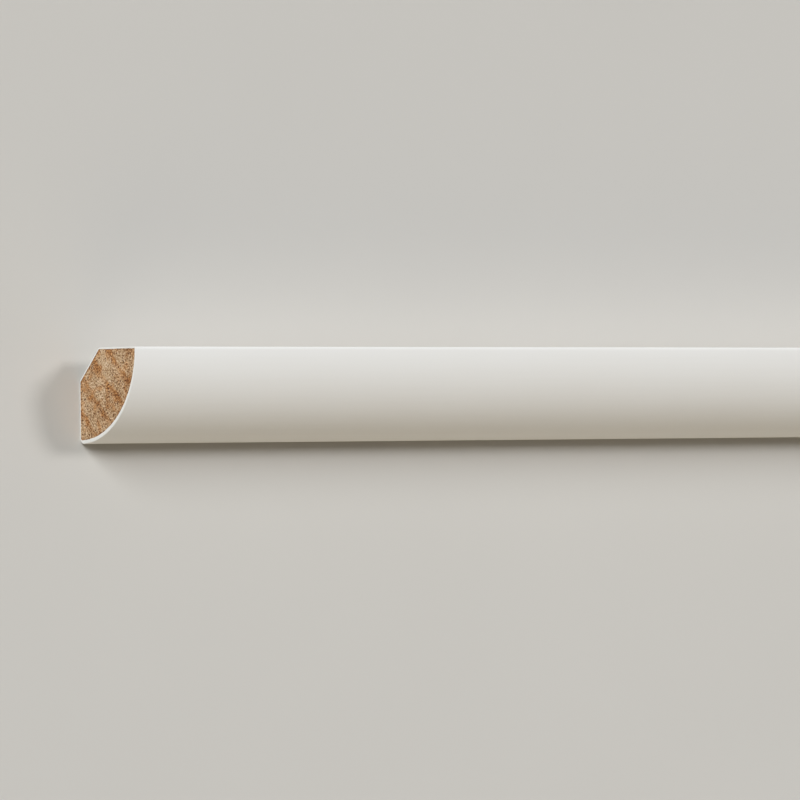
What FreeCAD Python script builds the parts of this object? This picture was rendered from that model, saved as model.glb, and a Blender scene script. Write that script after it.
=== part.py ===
# Quarter round moulding: one straight length of milled timber stock with a white coat.
# The strip lies on its floor face, with its wall face upright behind it and the round
# facing forwards and up. One corner, where a wall meets a floor, is cut back by a relief.
# Frame: +X along the length, +Y towards the wall, +Z up. The origin is at mid length,
# midway between the wall plane and the nose, on the floor plane. Sizes are in millimetres.

import FreeCAD, Part
import math
import os

# Driving dimensions
LENGTH = 2400.0      # stock length, from saw cut to saw cut
ROUND_RADIUS = 17.5  # the convex quarter round
ROUND_INSET = 0.5    # from the round's centre line out to the wall plane and the floor plane
RELIEF_LEG = 6.2     # leg of the 45 degree relief at the back corner
NOSE_ARRIS = 1.0     # rounded edge between the round and the floor face
TOP_ARRIS = 0.5      # rounded edge between the round and the wall face
RELIEF_ARRIS = 0.4   # rounded edges on both sides of the relief

# Sizes that follow from them
NOMINAL_LEG = ROUND_INSET + ROUND_RADIUS  # width and height that the stock is sold by
ROUND_REACH = ROUND_INSET + math.sqrt(ROUND_RADIUS**2 - ROUND_INSET**2)  # where the round meets a plane
ROUND_MIDDLE = ROUND_INSET + ROUND_RADIUS * math.sqrt(0.5)  # the round's own middle, seen on its diagonal


def section_point(depth, height):
    """A point of the left end's section: depth out from the wall plane, height above the floor."""
    return FreeCAD.Vector(-LENGTH / 2, NOMINAL_LEG / 2 - depth, height)


def section_face():
    """The milled section with sharp edges: floor face, round, wall face and relief, in that order."""
    nose = section_point(ROUND_REACH, 0)
    round_middle = section_point(ROUND_MIDDLE, ROUND_MIDDLE)
    top = section_point(0, ROUND_REACH)
    relief_top = section_point(0, RELIEF_LEG)
    relief_foot = section_point(RELIEF_LEG, 0)
    outline = [
        Part.LineSegment(relief_foot, nose),
        Part.Arc(nose, round_middle, top),
        Part.LineSegment(top, relief_top),
        Part.LineSegment(relief_top, relief_foot),
    ]
    return Part.Face(Part.Wire([curve.toShape() for curve in outline]))


def ease_edge(strip, depth, height, radius):
    """Rounds the long edge that runs through that point of the section."""
    middle = section_point(depth, height) + FreeCAD.Vector(LENGTH / 2, 0, 0)
    edge = min(strip.Edges, key=lambda candidate: candidate.CenterOfMass.distanceToPoint(middle))
    return strip.makeFillet(radius, [edge])


def moulding_strip():
    """The whole strip: the section run along the length, with its four long edges eased."""
    strip = section_face().extrude(FreeCAD.Vector(LENGTH, 0, 0))
    strip = ease_edge(strip, ROUND_REACH, 0, NOSE_ARRIS)
    strip = ease_edge(strip, 0, ROUND_REACH, TOP_ARRIS)
    strip = ease_edge(strip, 0, RELIEF_LEG, RELIEF_ARRIS)
    strip = ease_edge(strip, RELIEF_LEG, 0, RELIEF_ARRIS)
    return strip


def main():
    os.makedirs("parts", exist_ok=True)
    strip = moulding_strip()
    strip.exportStep("parts/quarter_round_moulding.step")
    box = strip.BoundBox
    print(f"quarter_round_moulding: valid {strip.isValid()}")
    print(f"  {len(strip.Solids)} solid, {len(strip.Faces)} faces")
    print(f"  {box.XLength:.2f} x {box.YLength:.3f} x {box.ZLength:.3f} mm, {strip.Volume / 1000:.1f} cm3")
    print(f"  section {strip.Volume / LENGTH:.2f} mm2")


main()
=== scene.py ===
import math

import bmesh
import bpy
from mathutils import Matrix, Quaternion, Vector, noise


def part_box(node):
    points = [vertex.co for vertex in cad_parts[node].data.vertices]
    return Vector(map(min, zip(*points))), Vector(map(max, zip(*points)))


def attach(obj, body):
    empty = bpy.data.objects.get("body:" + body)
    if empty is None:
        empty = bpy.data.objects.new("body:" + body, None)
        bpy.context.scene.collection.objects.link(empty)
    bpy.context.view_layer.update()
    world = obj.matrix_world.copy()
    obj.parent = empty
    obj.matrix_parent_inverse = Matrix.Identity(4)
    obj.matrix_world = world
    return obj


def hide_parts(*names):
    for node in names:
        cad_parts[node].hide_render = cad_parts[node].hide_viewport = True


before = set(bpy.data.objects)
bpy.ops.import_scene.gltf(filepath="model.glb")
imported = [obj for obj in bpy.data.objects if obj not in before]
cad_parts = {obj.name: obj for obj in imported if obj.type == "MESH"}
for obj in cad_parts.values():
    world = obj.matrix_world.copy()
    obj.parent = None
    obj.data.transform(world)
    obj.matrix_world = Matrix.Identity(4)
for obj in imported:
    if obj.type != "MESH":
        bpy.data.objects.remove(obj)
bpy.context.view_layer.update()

mm = 0.001
diagonal = math.sqrt(0.5)  # what a step of 1 at 45 degrees covers along each axis
stripNode = "quarter_round_moulding"
stripLow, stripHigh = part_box(stripNode)
stripLeg = stripHigh.z - stripLow.z
print(f"frame: strip {(stripHigh.x - stripLow.x) / mm:.0f} mm long, {stripLeg / mm:.1f} mm high")


# Shader sockets that take Python's own operators

class Wire:
    def __init__(self, tree, socket=None):
        self.tree = tree
        self.socket = socket

    def node(self, kind, settings=(), inputs=(), output=0):
        made = self.tree.nodes.new("ShaderNode" + kind)
        for name, value in dict(settings).items():
            if name == "stops":
                setStops(made.color_ramp, value)
            else:
                setattr(made, name, value)
        for name, value in dict(inputs).items():
            if isinstance(value, Wire):
                self.tree.links.new(value.socket, made.inputs[name])
            else:
                made.inputs[name].default_value = value
        return Wire(self.tree, made.outputs[output] if made.outputs else None)

    def other(self, output):  # another output of the same node
        return Wire(self.tree, self.socket.node.outputs[output])

    def maths(self, operation, *others):
        return self.node("Math", {"operation": operation}, enumerate((self, *others)))

    def __add__(self, other):
        return self.maths("ADD", other)

    def __sub__(self, other):
        return self.maths("SUBTRACT", other)

    def __rsub__(self, other):
        return self.node("Math", {"operation": "SUBTRACT"}, {0: other, 1: self})

    def __mul__(self, other):
        return self.maths("MULTIPLY", other)

    def __truediv__(self, other):
        return self.maths("DIVIDE", other)

    __radd__ = __add__
    __rmul__ = __mul__

    def hypotenuse(self, other):
        return (self * self + other * other).maths("SQRT")

    def between(self, low, high):  # 0 at low, 1 at high, eased
        settings = {"interpolation_type": "SMOOTHSTEP"}
        return self.node("MapRange", settings, {"Value": self, "From Min": low, "From Max": high})

    def mixed(self, first, second, blend="MIX"):  # this value as the factor between two colours
        settings = {"data_type": "RGBA", "blend_type": blend}
        colours = {0: self, 6: first, 7: second}  # the factor, and the node's two colour sockets
        return self.node("Mix", settings, colours, output=2)


def setStops(ramp, stops):
    while len(ramp.elements) < len(stops):
        ramp.elements.new(0.5)  # its place is set below
    for element, (place, colour) in zip(ramp.elements, stops):
        element.position = place
        element.color = colour if isinstance(colour, tuple) else (colour, colour, colour, 1)


def tint(red, green, blue):  # a screen colour, 0 to 255, as the shader's linear one
    def linear(level):
        share = level / 255
        return share / 12.92 if share <= 0.04045 else ((share + 0.055) / 1.055) ** 2.4
    return linear(red), linear(green), linear(blue), 1


def newMaterial(name):
    material = bpy.data.materials.new(name)
    material.use_nodes = True
    material.node_tree.nodes.clear()
    wire = Wire(material.node_tree)
    place = wire.node("TexCoord", output="Object")
    place = wire.node("VectorMath", {"operation": "SCALE"}, {0: place, "Scale": 1 / mm})  # now in mm
    return material, wire, place


def finishMaterial(wire, look, colour, roughness, height=None):
    inputs = {"Base Color": colour, "Roughness": roughness}
    if height is not None:
        bump = {"Strength": look["bump"], "Distance": look["bumpDepth"] * mm, "Height": height}
        inputs["Normal"] = wire.node("Bump", (), bump)
    shader = wire.node("BsdfPrincipled", (), inputs)
    wire.node("OutputMaterial", (), {"Surface": shader})


drawnOut = 50  # how many times as long as wide a pattern along the strip is


def alongStrip(wire, place, start=(0, 0, 0)):
    inputs = {0: place, 1: (1 / drawnOut, 1, 1), 2: start}
    return wire.node("VectorMath", {"operation": "MULTIPLY_ADD"}, inputs)


def speckle(wire, place, perMm, detail=2):
    return wire.node("TexNoise", (), {"Vector": place, "Scale": perMm, "Detail": detail})


def addObject(name, data):
    made = bpy.data.objects.new(name, data)
    bpy.context.scene.collection.objects.link(made)
    return made


def addMesh(name, bm):
    mesh = bpy.data.meshes.new(name)
    bm.to_mesh(mesh)
    bm.free()
    return addObject(name, mesh)


# Strip of white coated timber

stripShape = {
    "roundInset": 0.5 * mm,  # of the round's centre, off the wall plane and the floor plane
    "reliefLeg": 6.2 * mm,
    "noseArris": 1.0 * mm,
    "topArris": 0.5 * mm,
    "reliefArris": 0.4 * mm,
    "roundSteps": 72,
    "arrisSteps": 8,
    "coatOnRound": 0.29 * mm,  # the coat's thickness, as the saw cut shows it
    "coatOnWall": 0.32 * mm,
    "coatOnRelief": 0.31 * mm,
    "coatOnFloor": 0.28 * mm,
    "coatAtNose": 0.4 * mm,  # how much thicker the round's coat is at the nose
    "timberNose": 0.35 * mm,  # the timber's own rounded edges, under the coat
    "timberEdge": 0.15 * mm,
    "cutArris": 0.08 * mm,  # broken edge round the saw cut
    "cutArrisSteps": 3,
    "cutGrid": 0.16 * mm,  # spacing of the saw cut's fine grid
    "cutSunk": 0.09 * mm,  # how far the timber lies behind the coat's rim
    "fibre": 0.05 * mm,  # how far fibres stand out of the saw cut
    "fibreSize": 0.45 * mm,
    "splinter": 0.5,  # finer fibres: their height, as a share of the others'
    "splinterStep": 2.7,  # and how many times smaller they are
    "edgeWander": 0.05 * mm,  # of the line between the timber and the coat
    "edgeSize": 0.9 * mm,
    "wanderSeed": 5,
    "sharpAngle": 30,  # degrees, past which an edge is shaded sharp
    "mergeGap": 0.001 * mm,
    "planeGap": 0.00001 * mm,  # a point this near to a cutting plane lies on it
    "mapMiddle": (8.5 * mm, 7.0 * mm),  # inside the section, out from the wall and up from the floor
    "mapMargin": 0.012,
    "mapRows": 4,
}
grainSlot, rimSlot = 1, 2  # of the strip's materials; the coat is 0


def traceSection(bm, wall, floor, relief, centre, radius, nose, top, easing):
    # clockwise from the relief's foot, seen from the right: floor, nose, round, top, wall, relief
    x = centre.x
    slant = easing * math.tan(math.pi / 8)
    noseZ = floor + nose
    noseY = centre.y - math.sqrt((radius - nose) ** 2 - (noseZ - centre.z) ** 2)
    topY = wall - top
    topZ = centre.z + math.sqrt((radius - top) ** 2 - (topY - centre.y) ** 2)
    noseMid = Vector((x, noseY, noseZ))
    topMid = Vector((x, topY, topZ))
    reliefTop = Vector((x, wall - easing, floor + relief + slant))
    reliefFoot = Vector((x, wall - relief - slant, floor + easing))
    noseTurn = math.atan2(noseMid.z - centre.z, noseMid.y - centre.y) % math.tau
    topTurn = math.atan2(topMid.z - centre.z, topMid.y - centre.y)
    down = 1.5 * math.pi
    arrisSteps = stripShape["arrisSteps"]

    start = bm.verts.new((x, reliefFoot.y, floor))
    drawn = [start]

    def straight(y, z):
        end = bmesh.ops.extrude_vert_indiv(bm, verts=drawn[-1:])["verts"][0]
        end.co = (x, y, z)
        drawn.append(end)

    def arc(middle, turn, steps):
        before = set(bm.verts)
        bmesh.ops.spin(bm, geom=drawn[-1:], cent=middle, axis=(1, 0, 0), angle=-turn, steps=steps)
        fresh = [vert for vert in bm.verts if vert not in before]
        drawn.extend(fresh)

    straight(noseMid.y, floor)
    arc(noseMid, down - noseTurn, arrisSteps)
    arc(centre, noseTurn - topTurn, stripShape["roundSteps"])
    arc(topMid, topTurn, arrisSteps)
    straight(wall, reliefTop.z)
    arc(reliefTop, math.pi / 4, arrisSteps // 2)
    straight(reliefFoot.y + easing * diagonal, reliefFoot.z - easing * diagonal)
    arc(reliefFoot, math.pi / 4, arrisSteps // 2)
    bmesh.ops.remove_doubles(bm, verts=[start, drawn[-1]], dist=stripShape["mergeGap"])
    drawn = [vert for vert in drawn if vert.is_valid]
    return [edge for edge in bm.edges if edge.verts[0] in drawn and edge.verts[1] in drawn]


def drawEnd(bm):
    # outlines of the coat and of the timber in it, the rim between them and the timber's face
    end, wall, floor = stripLow.x, stripHigh.y, stripLow.z
    inset = stripShape["roundInset"]
    onWall, onFloor = stripShape["coatOnWall"], stripShape["coatOnFloor"]
    outside = traceSection(
        bm, wall, floor, stripShape["reliefLeg"], Vector((end, wall - inset, floor + inset)),
        radius=stripLeg - inset, nose=stripShape["noseArris"],
        top=stripShape["topArris"], easing=stripShape["reliefArris"])
    timberRelief = stripShape["reliefLeg"] + math.sqrt(2) * stripShape["coatOnRelief"] - onWall - onFloor
    timberCentre = Vector((end, wall - inset + stripShape["coatAtNose"], floor + inset))
    timber = traceSection(
        bm, wall - onWall, floor + onFloor, timberRelief, timberCentre,
        radius=stripLeg - inset - stripShape["coatOnRound"], nose=stripShape["timberNose"],
        top=stripShape["timberEdge"], easing=stripShape["timberEdge"])
    rim = bmesh.ops.bridge_loops(bm, edges=outside + timber)["faces"]
    cutFace = bmesh.ops.contextual_create(bm, geom=timber)["faces"]
    return outside, rim, cutFace


def drawOut(bm, edges, places):  # runs an outline along the strip, from place to place
    for x in places:
        drawn = bmesh.ops.extrude_edge_only(bm, edges=edges)["geom"]
        verts = {item for item in drawn if isinstance(item, bmesh.types.BMVert)}
        edges = [item for item in drawn if isinstance(item, bmesh.types.BMEdge)]
        edges = [edge for edge in edges if verts.issuperset(edge.verts)]
        for vert in verts:
            vert.co.x = x


def gridCut(bm, faces, spacing):  # cuts a flat end into a fine grid, across and then up
    for axis in (1, 2):
        across = Vector((0, axis == 1, axis == 2))
        places = [vert.co[axis] for face in faces for vert in face.verts]
        low, high = min(places), max(places)
        count = round((high - low) / spacing)
        for step in range(1, count):
            at = across * (low + (high - low) * step / count)
            parts = [item for face in faces for item in (face, *face.edges, *face.verts)]
            geom = list(dict.fromkeys(parts))  # each once, in the same order every run
            cut = bmesh.ops.bisect_plane(
                bm, geom=geom, dist=stripShape["planeGap"], plane_co=at, plane_no=across)
            faces = [item for item in cut["geom"] if isinstance(item, bmesh.types.BMFace)]
    return faces


def roughenCut(faces):
    noise.seed_set(stripShape["wanderSeed"])
    inside = set(faces)
    for vert in {vert for face in faces for vert in face.verts}:
        if inside.issuperset(vert.link_faces):
            spot = vert.co / stripShape["fibreSize"]
            splinter = stripShape["splinter"] * noise.noise(spot * stripShape["splinterStep"])
            vert.co.x += stripShape["cutSunk"] + stripShape["fibre"] * (noise.noise(spot) + splinter)
        else:
            wander = noise.noise_vector(vert.co / stripShape["edgeSize"]) * stripShape["edgeWander"]
            vert.co += Vector((0, wander.y, wander.z))


def mapEnd(face, uvMap):  # a quarter of the square for each sawn end
    margin = stripShape["mapMargin"]
    left = 0.5 if face.calc_center_median().x > 0 else 0
    spread = 0.5 - 2 * margin
    for loop in face.loops:
        across = (loop.vert.co.y - stripLow.y) / stripLeg
        above = (loop.vert.co.z - stripLow.z) / stripLeg
        loop[uvMap].uv = (left + margin + across * spread, margin + above * spread)


def mapLength(face, uvMap):  # a row for each run of the outside, unrolled round the section
    margin = stripShape["mapMargin"]
    rowLength = (stripHigh.x - stripLow.x) / stripShape["mapRows"]
    rowHeight = 0.5 / stripShape["mapRows"]
    out, up = stripShape["mapMiddle"]
    middleY, middleZ = stripHigh.y - out, stripLow.z + up
    seam = math.atan2(stripLow.z - middleZ, stripLow.y - middleY)
    row = int((face.calc_center_median().x - stripLow.x) / rowLength)
    spots = [loop.vert.co for loop in face.loops]
    turns = [(math.atan2(spot.z - middleZ, spot.y - middleY) - seam) / math.tau % 1 for spot in spots]
    if max(turns) - min(turns) > 0.5:  # the face crosses the seam
        turns = [turn + 1 if turn < 0.5 else turn for turn in turns]
    foot = 0.5 + row * rowHeight + margin / 2
    for loop, spot, turn in zip(face.loops, spots, turns):
        run = (spot.x - stripLow.x) / rowLength - row
        loop[uvMap].uv = (margin + run * (1 - 2 * margin), foot + turn * (rowHeight - margin))


def unwrapStrip(bm):
    # both sawn ends take the lower half of the square, the runs of the outside the upper half
    uvMap = bm.loops.layers.uv.new("OFBake")  # a map for baking the finishes to
    for face in bm.faces:
        if abs(face.calc_center_median().x) > stripHigh.x - stripShape["cutArris"]:
            mapEnd(face, uvMap)
        else:
            mapLength(face, uvMap)


def sortFaces(bm):  # by their first two corners, so that the order is the same every run
    bm.verts.index_update()
    count = len(bm.verts)
    bm.faces.sort(key=lambda face: face.verts[0].index * count + face.verts[1].index)


def makeStrip():
    bm = bmesh.new()
    outside, rim, cutFace = drawEnd(bm)
    grain = gridCut(bm, cutFace, stripShape["cutGrid"])
    print("strip: saw cut,", len(grain), "faces")
    drawOut(bm, outside, (stripLow.x / 2, 0))  # one half of the length, in two runs
    for face in rim:
        face.material_index = rimSlot
    bmesh.ops.bevel(
        bm, geom=outside, offset=stripShape["cutArris"], offset_type="OFFSET",
        segments=stripShape["cutArrisSteps"], profile=0.5, affect="EDGES", material=-1)
    print("strip: section drawn out,", len(bm.faces), "faces")

    for face in grain:
        face.material_index = grainSlot
    roughenCut(grain)
    everything = bm.verts[:] + bm.edges[:] + bm.faces[:]
    bmesh.ops.mirror(bm, geom=everything, axis="X", merge_dist=stripShape["mergeGap"])
    bmesh.ops.recalc_face_normals(bm, faces=bm.faces[:])
    sortFaces(bm)
    unwrapStrip(bm)
    for face in bm.faces:
        face.smooth = True
    piece = addMesh("coatedStrip", bm)
    piece.data.set_sharp_from_angle(angle=math.radians(stripShape["sharpAngle"]))
    return piece


coatLook = {  # sizes in mm; PerMm says how fine a pattern is
    "white": tint(235, 233, 230),
    "shade": tint(231, 228, 224),
    "streaksPerMm": 1.6,
    "cloudsPerMm": 0.05,
    "peelPerMm": 1.4,
    "peelShare": 0.6,  # of the bump; streaks make the rest
    "roughness": 0.65,
    "roughnessSpread": 0.1,
    "bump": 0.12,
    "bumpDepth": 0.02,
}


def coatMaterial():
    material, wire, place = newMaterial("whiteCoat")
    streaks = speckle(wire, alongStrip(wire, place), coatLook["streaksPerMm"], detail=3)
    clouds = speckle(wire, place, coatLook["cloudsPerMm"])
    peel = speckle(wire, place, coatLook["peelPerMm"])
    tone = streaks * 0.5 + clouds * 0.5
    colour = tone.mixed(coatLook["white"], coatLook["shade"])
    roughness = coatLook["roughness"] + (streaks - 0.5) * coatLook["roughnessSpread"]
    height = peel * coatLook["peelShare"] + streaks * (1 - coatLook["peelShare"])
    finishMaterial(wire, coatLook, colour, roughness, height)
    return material


cutCoatLook = {
    "white": tint(242, 240, 236),
    "chalk": tint(232, 229, 223),
    "chalkPerMm": 3.0,
    "roughness": 0.65,
    "roughnessSpread": 0.1,
    "bump": 0.3,
    "bumpDepth": 0.02,
}


def cutCoatMaterial():
    material, wire, place = newMaterial("sawnCoat")
    chalk = speckle(wire, place, cutCoatLook["chalkPerMm"], detail=3)
    colour = chalk.mixed(cutCoatLook["white"], cutCoatLook["chalk"])
    roughness = cutCoatLook["roughness"] + cutCoatLook["roughnessSpread"] * chalk
    finishMaterial(wire, cutCoatLook, colour, roughness, chalk)
    return material


grainLook = {  # sizes in mm; a start is where in an endless pattern the section lies
    "pith": (-15.8, 30.0),  # the rings' middle, out from the wall plane and up from the floor
    "ringSpacing": 4.8,
    "ringPlace": 31.1,  # of one dark ring, from the pith
    "ringProfile": [  # how dark, from midway before a ring to midway after it
        (0, 0.0), (0.36, 0.03), (0.44, 0.9), (0.5, 1.0), (0.58, 0.8), (0.7, 0.25), (0.88, 0.0)],
    "ringDepth": 0.12,
    "ringStart": (0, 173.5, 119.0),
    "ringWander": 1.2,  # pulls the rings off their circles
    "wanderPerMm": 0.3,
    "patchStart": (0, 128.7, 66.1),
    "patchPerMm": 0.42,  # the rings show in patches
    "patchRange": (0.34, 0.62),
    "patchLeast": 0.55,  # what is left of a ring between them
    "cloudPerMm": 0.55,
    "cloudRange": (0.46, 0.72),
    "mottle": 0.75,
    "mottlePerMm": 0.4,
    "mottleStart": (0, 118.8, 165.3),
    "fibre": 2.2,
    "fibrePerMm": 3.0,
    "pores": 0.85,
    "poresPerMm": 1.9,
    "poreRange": (0.36, 0.13),  # from a pore's rim to its floor
    "poreDrift": 0.6,  # pulls the pores out of round
    "driftPerMm": 2.2,
    "edge": 0.14,  # how much darker the timber is next to the coat
    "edgeWidth": 0.35,
    "soakWidth": 0.7,
    "soakFade": (16, 9),  # out from the wall plane, from none to all of it
    "heart": 0.09,  # how much paler the timber is away from the round
    "heartReach": (1, 9),
    "level": 0.634,
    "tones": [
        (0, tint(84, 46, 20)), (0.25, tint(140, 99, 57)), (0.5, tint(177, 142, 104)),
        (0.75, tint(202, 170, 134)), (1, tint(228, 201, 170))],
    "warm": (0.88, 0.62, 0.36, 1),  # over the tones
    "warmRings": 0.75,
    "warmClouds": 0.76,
    "warmSoaked": 0.45,
    "roughness": 0.8,
    "roughnessSpread": 0.1,
    "bump": 0.6,
    "bumpDepth": 0.06,
}


def growthRings(wire, place, out, up):  # and the warm clouds among them
    pithOut, pithUp = grainLook["pith"]
    fromPith = (out - pithOut).hypotenuse(up - pithUp)
    wander = speckle(wire, alongStrip(wire, place, grainLook["ringStart"]), grainLook["wanderPerMm"])
    turn = fromPith + (wander - 0.5) * grainLook["ringWander"]
    turn = ((turn - grainLook["ringPlace"]) / grainLook["ringSpacing"] + 0.5).maths("FRACT")
    ring = wire.node("ValToRGB", {"stops": grainLook["ringProfile"]}, {0: turn})
    timber = alongStrip(wire, place, grainLook["patchStart"])
    patch = speckle(wire, timber, grainLook["patchPerMm"], detail=1).between(*grainLook["patchRange"])
    cloud = speckle(wire, timber, grainLook["cloudPerMm"], detail=1).between(*grainLook["cloudRange"])
    least = grainLook["patchLeast"]
    return ring * (least + (1 - least) * patch), cloud


def nearCoat(out, up):
    # dark along the round and the wall, soaked along the relief and the floor but less so near the nose
    inset = stripShape["roundInset"] / mm
    radius = (stripLeg - stripShape["coatOnRound"]) / mm - inset
    fromMiddle = out - (inset - stripShape["coatAtNose"] / mm)
    fromRound = radius - fromMiddle.hypotenuse(up - inset)
    fromWall = out - stripShape["coatOnWall"] / mm
    fromFloor = up - stripShape["coatOnFloor"] / mm
    fromRelief = (out + up - stripShape["reliefLeg"] / mm) * diagonal - stripShape["coatOnRelief"] / mm
    edge = fromRound.maths("MINIMUM", fromWall).between(grainLook["edgeWidth"], 0)
    soaked = fromRelief.maths("MINIMUM", fromFloor).between(grainLook["soakWidth"], 0)
    soaked = soaked * out.between(*grainLook["soakFade"])
    heart = fromRound.between(*grainLook["heartReach"])
    return edge, soaked, heart


def poreHoles(wire, timber):
    drift = speckle(wire, timber, grainLook["driftPerMm"]).other("Color")
    pull = (0, grainLook["poreDrift"], grainLook["poreDrift"])
    drifted = wire.node("VectorMath", {"operation": "MULTIPLY_ADD"}, {0: drift, 1: pull, 2: timber})
    vessels = wire.node("TexVoronoi", (), {"Vector": drifted, "Scale": grainLook["poresPerMm"]})
    return vessels.between(*grainLook["poreRange"])


def grainMaterial():
    material, wire, place = newMaterial("sawnEndGrain")
    split = wire.node("SeparateXYZ", (), {0: place})
    up = split.other("Z")
    out = stripHigh.y / mm - split.other("Y")  # from the wall plane
    band, cloud = growthRings(wire, place, out, up)
    edge, soaked, heart = nearCoat(out, up)
    timber = alongStrip(wire, place, grainLook["mottleStart"])
    mottle = speckle(wire, timber, grainLook["mottlePerMm"])
    fibre = speckle(wire, timber, grainLook["fibrePerMm"], detail=1)
    pores = poreHoles(wire, timber)

    tone = grainLook["level"] - grainLook["ringDepth"] * band - grainLook["edge"] * (edge + soaked)
    tone = tone + grainLook["heart"] * (heart - 0.5) + grainLook["mottle"] * (mottle - 0.5)
    tone = tone + grainLook["fibre"] * (fibre - 0.5) - grainLook["pores"] * pores
    colour = wire.node("ValToRGB", {"stops": grainLook["tones"]}, {0: tone})
    warm = grainLook["warmRings"] * band + grainLook["warmClouds"] * cloud
    warm = warm + grainLook["warmSoaked"] * soaked
    colour = warm.mixed(colour, grainLook["warm"], "MULTIPLY")
    roughness = grainLook["roughness"] + grainLook["roughnessSpread"] * fibre
    finishMaterial(wire, grainLook, colour, roughness, fibre - pores)
    return material


strip = makeStrip()
for finish in (coatMaterial(), grainMaterial(), cutCoatMaterial()):
    strip.data.materials.append(finish)
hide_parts(stripNode)
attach(strip, "root")
print("strip: finished and placed")


# Floor, light and camera

floorLook = {
    "halfSize": 60.0,  # in metres
    "below": 0.02 * mm,  # clear of the strip's floor face
    "grey": tint(208, 204, 198),
    "cloud": tint(205, 201, 195),
    "cloudsPerMm": 0.02,
    "roughness": 0.8,
}


def makeFloor():
    bm = bmesh.new()
    bmesh.ops.create_grid(bm, x_segments=1, y_segments=1, size=floorLook["halfSize"])
    bmesh.ops.translate(bm, verts=bm.verts[:], vec=(0, 0, -floorLook["below"]))
    floor = addMesh("paleFloor", bm)
    material, wire, place = newMaterial("paleFloor")
    clouds = speckle(wire, place, floorLook["cloudsPerMm"], detail=3)
    colour = clouds.mixed(floorLook["grey"], floorLook["cloud"])
    finishMaterial(wire, floorLook, colour, floorLook["roughness"])
    floor.data.materials.append(material)


def direction(azimuth, elevation):  # degrees, from the strip's own line towards the wall side, and up
    turn, rise = math.radians(azimuth), math.radians(elevation)
    return Vector((math.cos(rise) * math.cos(turn), math.cos(rise) * math.sin(turn), math.sin(rise)))


# level is how bright a white surface looks that squarely faces the lamp
lamps = {
    "backLamp": {"azimuth": 145, "elevation": 38, "softness": 30, "level": (0.82, 0.86, 0.885)},
    "sideLamp": {"azimuth": 38, "elevation": 53, "softness": 14, "level": (0.335, 0.33, 0.33)},
    "frontFill": {"azimuth": 270, "elevation": 8, "softness": 60, "level": (0.38, 0.335, 0.25)},
}


def setLamps():
    for name, lamp in lamps.items():
        sun = bpy.data.lights.new(name, "SUN")
        sun.energy = math.pi  # the strength at which a colour shows as it is
        sun.color = lamp["level"]
        sun.angle = math.radians(lamp["softness"])
        towards = direction(lamp["azimuth"], lamp["elevation"])
        addObject(name, sun).rotation_euler = towards.to_track_quat("Z", "Y").to_euler()


worldLook = {
    "level": (0.04, 0.04, 0.04, 1),
    "backdrop": tint(198, 195, 189),  # what the camera and reflections see of it
}


def setWorld():
    world = bpy.data.worlds.new("studio")
    world.use_nodes = True
    world.node_tree.nodes.clear()
    wire = Wire(world.node_tree)
    rays = wire.node("LightPath", output="Is Camera Ray")
    seen = (rays + rays.other("Is Glossy Ray") + rays.other("Is Transmission Ray")).maths("MINIMUM", 1)
    colour = seen.mixed(worldLook["level"], worldLook["backdrop"])
    sky = wire.node("Background", (), {"Color": colour})
    wire.node("OutputWorld", (), {"Surface": sky})
    bpy.context.scene.world = world


cameraView = {
    "aim": (76.64 * mm, 10.01 * mm),  # from the left end along the strip, and out from the wall plane
    "distance": 1307.3 * mm,
    "azimuth": 180.71,
    "elevation": 51.76,
    "roll": 88.84,
    "lens": 301.6,
    "sensor": 36,
    "clip": (0.01, 200),  # in metres
}


def placeCamera():
    along, out = cameraView["aim"]
    aim = Vector((stripLow.x + along, stripHigh.y - out, 0))
    back = direction(cameraView["azimuth"], cameraView["elevation"])
    data = bpy.data.cameras.new("photoView")
    data.lens = cameraView["lens"]
    data.sensor_width = cameraView["sensor"]
    data.clip_start, data.clip_end = cameraView["clip"]
    camera = addObject("photoView", data)
    camera.location = aim + back * cameraView["distance"]
    upright = (-back).to_track_quat("-Z", "Y")
    camera.rotation_euler = (upright @ Quaternion((0, 0, 1), math.radians(cameraView["roll"]))).to_euler()
    bpy.context.scene.camera = camera


makeFloor()
setLamps()
setWorld()
placeCamera()
bpy.context.scene.view_settings.view_transform = "Standard"
print("stage: floor, light and camera set")
